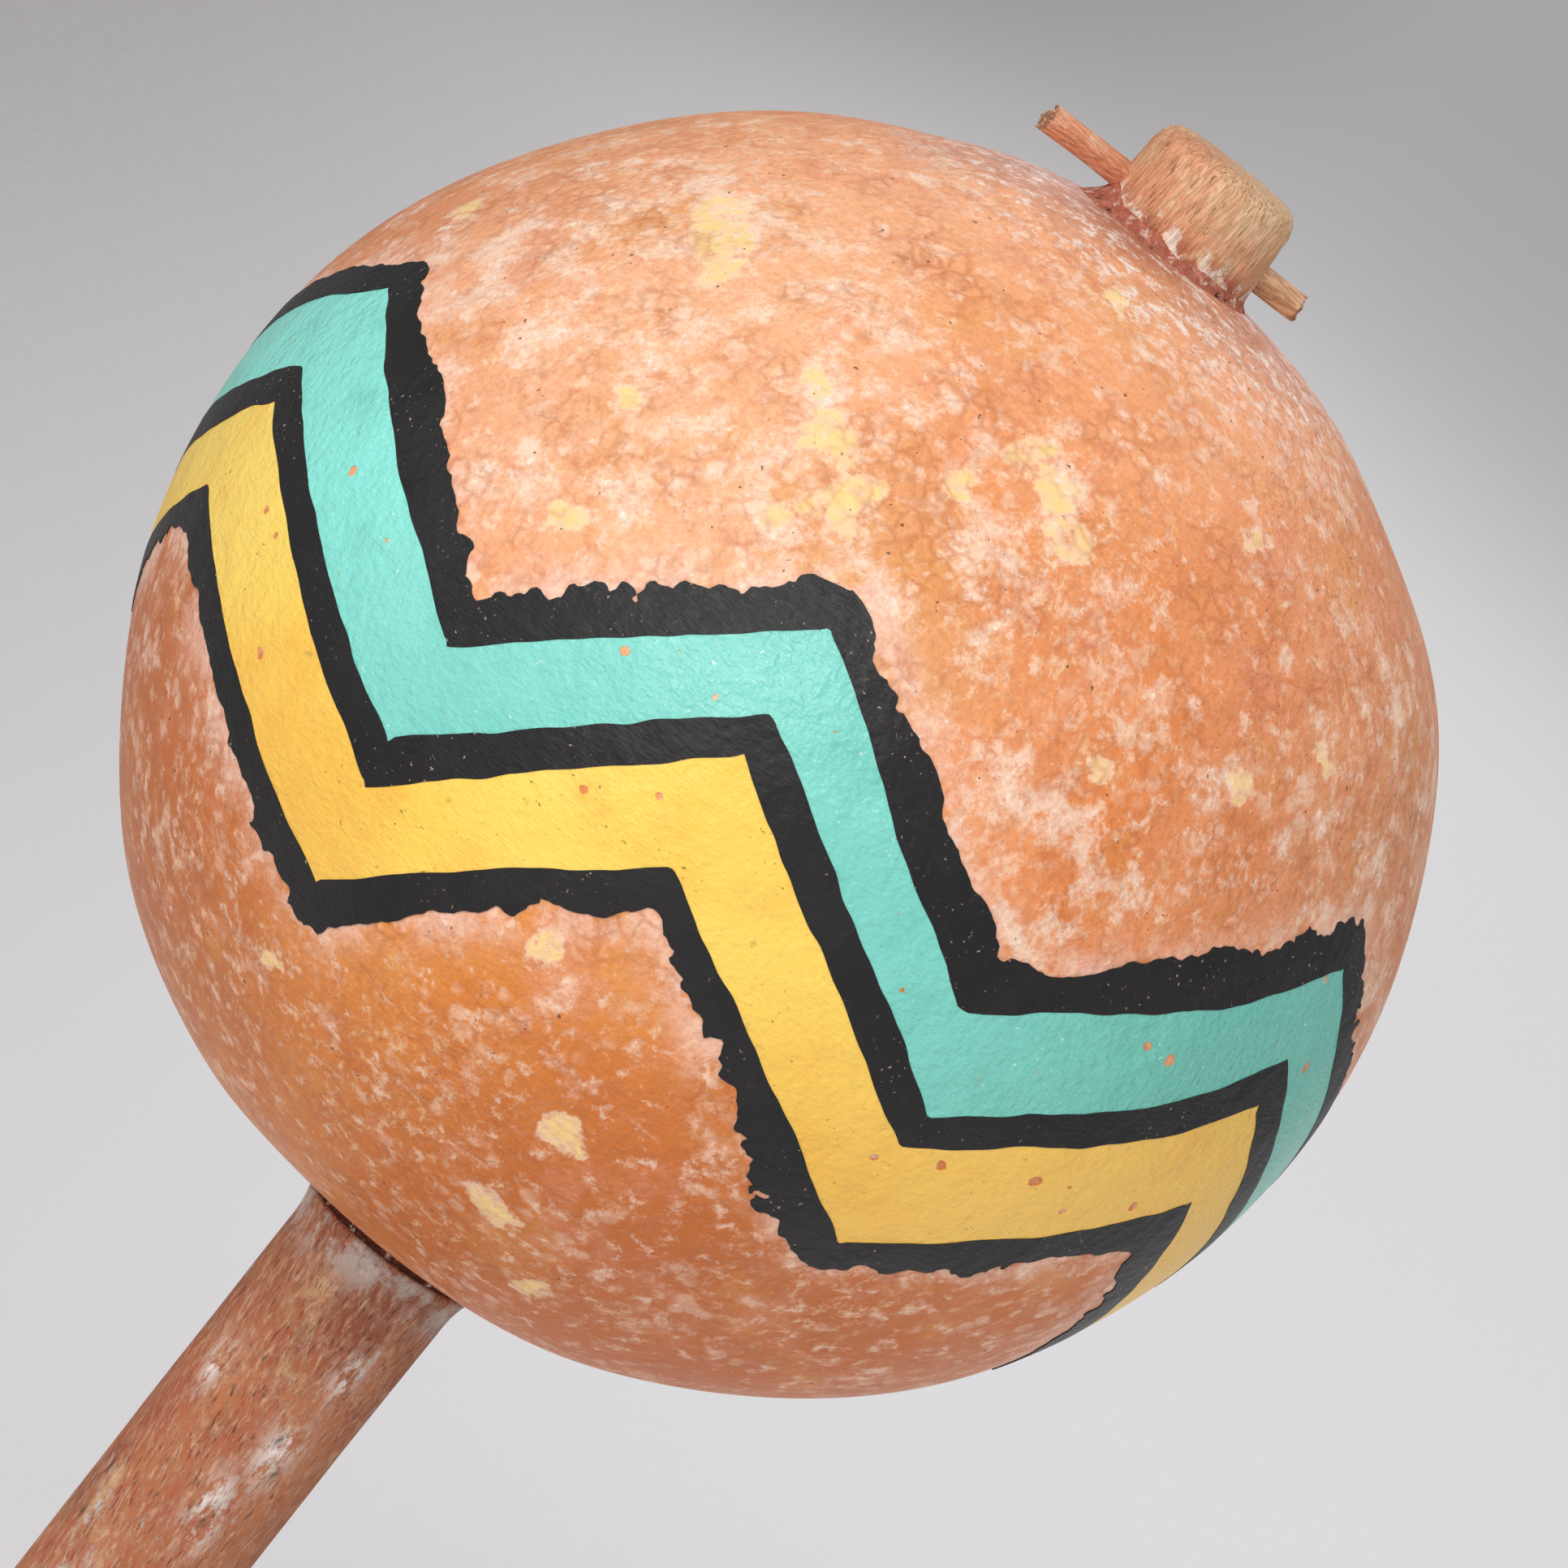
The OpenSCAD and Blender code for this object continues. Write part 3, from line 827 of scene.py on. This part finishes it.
def makePaint():
    half, tuck = painting["halfWidth"], painting["tuck"]
    above, middle, below = across["upper"], across["middle"], across["lower"]
    turquoise = np.minimum(middle - half["middle"], -above - half["upper"]) + tuck
    yellow = np.minimum(-middle - half["middle"], below - half["lower"]) + tuck
    turquoise = chipsOff(turquoise, *painting["chips"]["turquoise"])
    yellow = chipsOff(yellow, *painting["chips"]["yellow"])
    fields = {"middle": half["middle"] + 0.5 * wander[3] - np.abs(middle + wander[0])}
    for line, inner, outer, roughness, stroke in [
            ("upper", above, acrossSoft["upper"], ragged[0], roughStretch[0]),
            ("lower", -below, -acrossSoft["lower"], ragged[1], roughStretch[1])]:
        edge = half[line] - outer + roughness
        for lon, reach, extra in painting["swells"][line]:
            edge = edge + extra * np.exp(-((np.degrees(bandLon) - lon) / reach) ** 2)
        field = np.minimum(inner + half[line] + wander[1 if line == "upper" else 2], edge)
        flaking = painting["flakeHold"] - stroke - chipNoise
        fields[line] = np.minimum(field, flaking + 0.3 * np.maximum(edge, half[line] - outer))
    black = paintMaterial("black")
    paints = [
        ("paint_turquoise", turquoise, painting["colourLift"], paintMaterial("turquoise")),
        ("paint_yellow", yellow, painting["colourLift"], paintMaterial("yellow")),
        *[(f"paint_black_{line}", fields[line], painting["blackLift"], black)
          for line in ("middle", "upper", "lower")],
    ]
    for name, field, lift, material in paints:
        piece = addPiece(name, stripMesh(name, field, lift), [material])
        print(name, len(piece.data.polygons))


makePaint()

print("stick")
stickShape = {
    "columns": 168,
    "shoulderRadius": 12.3,
    "shaftRadius": 10.8,
    "stubTopRadius": 10.2,
    "buttRound": 3.5,
    "rimRound": 2.9,
    "handleStep": 0.8,
    "stubStep": 0.3,
    "grooves": 0.09,
    "bends": 0.22,
    # knots and worm holes: longitude in degrees, height above the butt in mm, radius, depth
    "knots": [(24, 83.4, 0.55, 0.5), (36, 79.5, 0.5, 0.3), (-62, 66.5, 0.6, 0.4), (-55, 60.3, 0.6, 0.4),
              (-66, 94.3, 0.5, 0.3), (18, 69.5, 0.4, 0.3), (140, 40, 0.8, 0.6), (-120, 88, 0.7, 0.5),
              (200, 74, 0.6, 0.5), (70, 25, 0.8, 0.6), (-30, 20, 0.6, 0.5), (5, 33, 0.7, 0.5)],
    # chalky patches: longitude, height above the butt, reach in mm
    "chalk": [(27, 82, 2.4), (14, 72.3, 2.2), (18, 68.4, 1.8), (-40, 86, 1.7), (33, 95, 1.7), (-15, 50, 2.6),
              (150, 46, 2.6), (-118, 84, 2.2), (205, 70, 2.6), (75, 30, 2.4), (-28, 24, 2.2), (110, 92, 2.2)],
}


def arcPoints(x, z, radius, start, end, steps):
    turn = np.radians(np.linspace(start, end, steps))
    return [(x + radius * cos(a), z + radius * sin(a)) for a in turn]


def stickProfile():
    buttZ, topZ = stickLow.z / mm, stickHigh.z / mm
    butt, rim, grip = stickShape["buttRound"], stickShape["rimRound"], gripRadius - 0.08
    poleZ = gourdZ + poleRadius
    shoulder, shaft, tip = (stickShape[k] for k in ("shoulderRadius", "shaftRadius", "stubTopRadius"))
    profile = [(r, buttZ) for r in np.linspace(0.4, grip - butt, 12, endpoint=False)]
    profile += arcPoints(grip - butt, buttZ + butt, butt, -90, 0, 12)
    profile += [(grip, z) for z in np.arange(buttZ + butt + 0.8, shoulderZ - 5, stickShape["handleStep"])]
    profile += [(grip + (shoulder - grip) * t ** 2, shoulderZ - 5 + 4.4 * t) for t in np.linspace(0, 1, 10)]
    profile += [(shoulder - 0.15, shoulderZ - 0.2), (shoulder - 0.5, shoulderZ), (shaft, shoulderZ)]
    profile += [(shaft, z) for z in np.linspace(shoulderZ + 1, poleZ - 3, 24)]
    stubRows = np.arange(poleZ - 2.5, topZ - rim, stickShape["stubStep"])
    profile += [(shaft + (tip - shaft) * max(0, (z - poleZ) / (topZ - poleZ)), z) for z in stubRows]
    profile += arcPoints(tip - rim, topZ - rim, rim, 0, 90, 14)
    profile += [(r, topZ) for r in np.linspace(tip - rim, 0.3, 24)[1:]]
    return np.array(profile), poleZ


def makeStick():
    profile, poleZ = stickProfile()
    lon = np.linspace(0, 2 * pi, stickShape["columns"], endpoint=False)
    radius, height = profile[:, :1], profile[:, 1:]
    points = np.stack([radius * np.sin(lon), -radius * np.cos(lon), height + 0 * lon], axis=-1)
    outwardWay = np.stack([np.sin(lon), -np.cos(lon), 0 * lon], axis=-1)
    pit = np.zeros(points.shape[:2])
    bumps = np.zeros(points.shape[:2])
    for i, (r, z) in enumerate(profile):
        isStub = z >= poleZ - 2
        if shoulderZ - 0.5 < z and not isStub:
            continue        # the shaft inside the gourd stays plain
        for j, (x, y) in enumerate(points[i, :, :2]):
            bend = cloudAt(x / 14, y / 14, z / 40) * (0.4 if isStub else 1)
            bumps[i, j] = (stickShape["bends"] * bend
                           + stickShape["grooves"] * cloudAt(x / 0.9, y / 0.9, z / 14))
            if isStub:
                bumps[i, j] += 0.06 * cloudAt(x / 0.45, y / 0.45, z / 5)
    chalk = np.zeros(points.shape[:2])
    for kind in ("knots", "chalk"):
        for knotLon, up, reach, *depth in stickShape[kind]:
            a = radians(knotLon)
            middle = np.array([gripRadius * sin(a), -gripRadius * cos(a), stickLow.z / mm + up])
            away = np.linalg.norm((points - middle) * np.array([1, 1, 0.5]), axis=-1)
            dent = np.exp(-(away / reach) ** 2)
            if depth:
                bumps -= depth[0] * dent
                pit = np.maximum(pit, dent ** 2)
            else:
                chalk = np.maximum(chalk, dent)
    flat = np.minimum(1, radius / 4)
    points = points + outwardWay * (bumps * flat)[..., None]
    points[..., 2] += np.where(height > poleZ + 11, bumps * 0.8, 0)
    mesh = skinGrid("stick", points)
    paintOn(mesh, "pit", np.append(pit.ravel(), [0, 0]))
    paintOn(mesh, "chalk", np.append(chalk.ravel(), [0, 0]))
    mesh.set_sharp_from_angle(angle=radians(60))
    addPiece("stick_wood", mesh, [handleWoodMaterial(), stubWoodMaterial()], ["stick"])
    stubIndex = [1 if face.center.z > gourdZ * mm else 0 for face in mesh.polygons]
    mesh.polygons.foreach_set("material_index", stubIndex)


makeStick()

print("cross peg")
pegShape = {"side": 3.0, "length": 39.4, "offset": 2.7, "turn": 12.0, "roll": 36.0, "around": 48,
            "along": 150, "cornerPower": 5.0, "roughness": 0.10, "endRough": 0.5}


# Where a point of the peg goes: x along its length, y and z across it
def pegPlace(points):
    roll, turn = radians(pegShape["roll"]), radians(pegShape["turn"])
    x, y, z = points[..., 0] - pegShape["offset"], points[..., 1], points[..., 2]
    y, z = y * cos(roll) - z * sin(roll), y * sin(roll) + z * cos(roll)
    x, y = x * cos(turn) - y * sin(turn), x * sin(turn) + y * cos(turn)
    return np.stack([x, y, z + (pegLow.z + pegHigh.z) / 2 / mm], axis=-1)


def makePeg():
    half, length = pegShape["side"] / 2, pegShape["length"]
    turn = np.linspace(0, 2 * pi, pegShape["around"], endpoint=False)
    power = pegShape["cornerPower"]
    reach = half / (np.abs(np.cos(turn)) ** power + np.abs(np.sin(turn)) ** power) ** (1 / power)
    rows = [(-length / 2, share) for share in np.linspace(0.08, 1, 7)]
    rows += [(x, 1.0) for x in np.linspace(-length / 2, length / 2, pegShape["along"])[1:-1]]
    rows += [(length / 2, share) for share in np.linspace(1, 0.08, 7)]
    points = np.zeros((len(rows), len(turn), 3))
    for i, (x, share) in enumerate(rows):
        for j, a in enumerate(turn):
            y, z = reach[j] * share * cos(a), reach[j] * share * sin(a)
            split = cloudAt(x / 9, y / 0.7, z / 0.7) * pegShape["roughness"]
            wave = cloudAt(x / 16, 3.1, a) * 0.12
            ragged = 0.0
            if abs(abs(x) - length / 2) < 0.01:
                ragged = pegShape["endRough"] * cloudAt(y / 0.5, z / 0.5, x)
                ragged += 0.35 * z / half * (1 if x < 0 else -0.5)
            scale = 1 + (split + wave) * share / half
            points[i, j] = (x + ragged, y * scale, z * scale)
    points = points[:, ::-1]
    mesh = skinGrid("cross_peg", pegPlace(points))
    endRow = [1.0 if abs(abs(x) - length / 2) < 0.4 else 0.0 for x, share in rows]
    paintOn(mesh, "broken", np.append(np.repeat(endRow, len(turn)), [1, 1]))
    mesh.set_sharp_from_angle(angle=radians(48))
    addPiece("cross_peg_wood", mesh, [pegWoodMaterial()], ["cross_peg"])


makePeg()

print("clay paste")
pasteShape = {
    "columns": 240,
    "rows": 18,
    # reach of the fillet on the rind, in mm, and how much further it spreads on the peg's longer side
    "reach": 1.3, "spread": 1.9, "spreadLon": -90, "spreadWidth": 38,
    "lumps": 0.22,
    "pits": 30,
    "gapWidth": 1.0,
    "seed": 5,
}


def makeTopPaste():
    shaft, rows = stickShape["shaftRadius"], pasteShape["rows"]
    poleZ = gourdZ + poleRadius
    lon = np.linspace(0, 2 * pi, pasteShape["columns"], endpoint=False)
    draw = random.Random(pasteShape["seed"])
    pits = [(draw.uniform(-pi, pi), draw.uniform(0.2, 0.6), draw.uniform(0.2, 0.42))
            for pit in range(pasteShape["pits"])]
    points = np.zeros((rows + 3, len(lon), 3))
    pit, rim = np.zeros(points.shape[:2]), np.zeros(points.shape[:2])
    for j, a in enumerate(lon):
        x, y = sin(a), -cos(a)
        side = remainder(a - radians(pasteShape["spreadLon"]), 2 * pi)
        reach = pasteShape["reach"] + pasteShape["spread"] * exp(
            -(degrees(side) / pasteShape["spreadWidth"]) ** 2)
        reach *= 1 + 0.35 * cloudAt(x * 3.5, y * 3.5, 7.7)
        for i in range(rows):
            share = i / (rows - 1)
            turn = radians(270 - 90 * share)
            r = shaft + reach + reach * cos(turn)
            rise = 1.15 * reach * (1 + sin(turn))
            rindZ = gourdZ + sqrt(poleRadius ** 2 - (r - gourdShape["bulge"]) ** 2)
            broad = cloudAt(x * 9, y * 9, share * 2)
            fine = cloudAt(x * 26, y * 26, share * 5)
            lump = pasteShape["lumps"] * sin(pi * share) * (broad + 0.8 * fine)
            dent = 0.0
            for pitLon, pitShare, size in pits:
                across = remainder(a - pitLon, 2 * pi) * r
                along = (share - pitShare) * reach * 1.6
                dent = max(dent, exp(-(across ** 2 + along ** 2) / size ** 2))
            push = 0.12 * sin(pi * share) + lump - 0.45 * dent
            points[i, j] = ((r + 0.7 * push) * x, (r + 0.7 * push) * y, rindZ - 0.12 + rise + 0.7 * push)
            pit[i, j] = min(1, 1.5 * dent ** 2)
            rim[i, j] = max(0, 1 - share / 0.45)
        top = points[rows - 1, j, 2]
        inside = [(shaft - 0.4, top), (shaft - 0.4, poleZ - 1.6), (shaft + 0.8, poleZ - 1.6)]
        for i, (r, z) in enumerate(inside):
            points[rows + i, j] = (r * x, r * y, z)
    mesh = skinGrid("top_paste", points, ring=True)
    paintOn(mesh, "pit", pit.ravel())
    paintOn(mesh, "rim", rim.ravel())
    addPiece("top_clay_paste", mesh, [pasteMaterial("redClayPaste")], ["top_paste"])


def makeLowerPaste():
    shaft, width = stickShape["shaftRadius"], pasteShape["gapWidth"]
    lon = np.linspace(0, 2 * pi, 160, endpoint=False)
    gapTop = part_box("lower_paste")[1].z / mm
    outline = [(shaft - 0.2, shoulderZ - 0.1), (shaft + width * 0.7, shoulderZ - 0.1),
               (shaft + width, shoulderZ + 0.3), (shaft + width, gapTop - 0.2),
               (shaft + width * 0.7, gapTop + 0.2), (shaft - 0.2, gapTop + 0.2)]
    points = np.zeros((len(outline), len(lon), 3))
    for i, (r, z) in enumerate(outline):
        for j, a in enumerate(lon):
            push = 0.25 * cloudAt(sin(a) * 9, cos(a) * 9, z) if 1 <= i <= 4 else 0
            points[i, j] = ((r + push) * sin(a), -(r + push) * cos(a), z)
    mesh = skinGrid("lower_paste", points, ring=True)
    # the gap paste's dark colour is partly painted shade
    addPiece("lower_clay_paste", mesh, [pasteMaterial("gapPastePaintedShade")], ["lower_paste"])


makeTopPaste()
makeLowerPaste()

print("rattle stones")
stoneSizes = {"grow": 0.98, "lumps": 0.12}   # how much of its CAD stone a pebble fills, how lumpy it is


# A tree that wears a round blank down into a river stone of the size given
def stoneTree(material):
    tree = bpy.data.node_groups.new("riverStoneShape", "GeometryNodeTree")
    for name in ("Length", "Thickness", "Lumps", "Seed"):
        tree.interface.new_socket(name=name, in_out="INPUT", socket_type="NodeSocketFloat")
    tree.interface.new_socket(name="Geometry", in_out="OUTPUT", socket_type="NodeSocketGeometry")
    given = addNode(tree, "NodeGroupInput")
    ball = addNode(tree, "GeometryNodeMeshIcoSphere", {"Radius": 0.5, "Subdivisions": 5})
    size = addNode(tree, "CombineXYZ",
                   {0: given["Length"], 1: given["Length"], 2: given["Thickness"]})
    where = addNode(tree, "GeometryNodeInputPosition")[0]
    cloud = addNode(tree, "TexNoise", {"Vector": where, "W": given["Seed"], "Scale": 1.6,
                                                 "Detail": 2.0}, noise_dimensions="4D")
    centred = addNode(tree, "Math", {0: cloud[0], 1: 0.5}, operation="SUBTRACT")
    wear = addNode(tree, "Math", {0: centred[0], 1: given["Lumps"]}, operation="MULTIPLY")
    shove = addNode(tree, "VectorMath", {0: where, "Scale": wear[0]}, operation="SCALE")
    worn = addNode(tree, "GeometryNodeSetPosition", {0: ball[0], "Offset": shove[0]})
    sized = addNode(tree, "GeometryNodeTransform", {0: worn[0], "Scale": size[0]})
    smooth = addNode(tree, "GeometryNodeSetShadeSmooth", {0: sized[0]})
    real = addNode(tree, "GeometryNodeRealizeInstances", {0: smooth[0]})
    dressed = addNode(tree, "GeometryNodeSetMaterial", {0: real[0], "Material": material})
    addNode(tree, "NodeGroupOutput", {0: dressed[0]})
    return tree


# Runs a tree on its own and returns its result as a plain mesh
def grownMesh(name, tree, values):
    holder = bpy.data.objects.new(name, bpy.data.meshes.new(name))
    scene.collection.objects.link(holder)
    growth = holder.modifiers.new("growth", "NODES")
    growth.node_group = tree
    for item in tree.interface.items_tree:
        if item.in_out == "INPUT" and item.name in values:
            growth[item.identifier] = values[item.name]
    mesh = bpy.data.meshes.new_from_object(holder.evaluated_get(bpy.context.evaluated_depsgraph_get()))
    holder.modifiers.remove(growth)
    bpy.data.objects.remove(holder)
    mesh.name = name
    return mesh


def makeStones():
    material = stoneMaterial()
    tree = stoneTree(material)
    for body in frame["bodies"]:
        if not body.startswith("stone_"):
            continue
        node = f"rattle_{body}"
        points = np.array([v.co for v in frame["nodes"][node].data.vertices])
        middle = (points.max(axis=0) + points.min(axis=0)) / 2
        spread, axes = np.linalg.eigh(np.cov((points - middle).T))
        flatWay = axes[:, 0]
        across = np.ptp((points - middle) @ axes[:, 2])
        thick = np.ptp((points - middle) @ flatWay)
        number = body.split("_")[1]
        mesh = grownMesh(node, tree, {"Length": across * stoneSizes["grow"],
                                      "Thickness": thick * stoneSizes["grow"],
                                      "Lumps": stoneSizes["lumps"], "Seed": float(number)})
        turn = Vector(flatWay).to_track_quat("Z", "Y").to_matrix().to_4x4()
        mesh.transform(turn)
        mesh.transform(Matrix.Translation(Vector(middle)))
        mesh.materials.clear()
        addPiece(f"pebble_{number}", mesh, [material], [node], body)


makeStones()
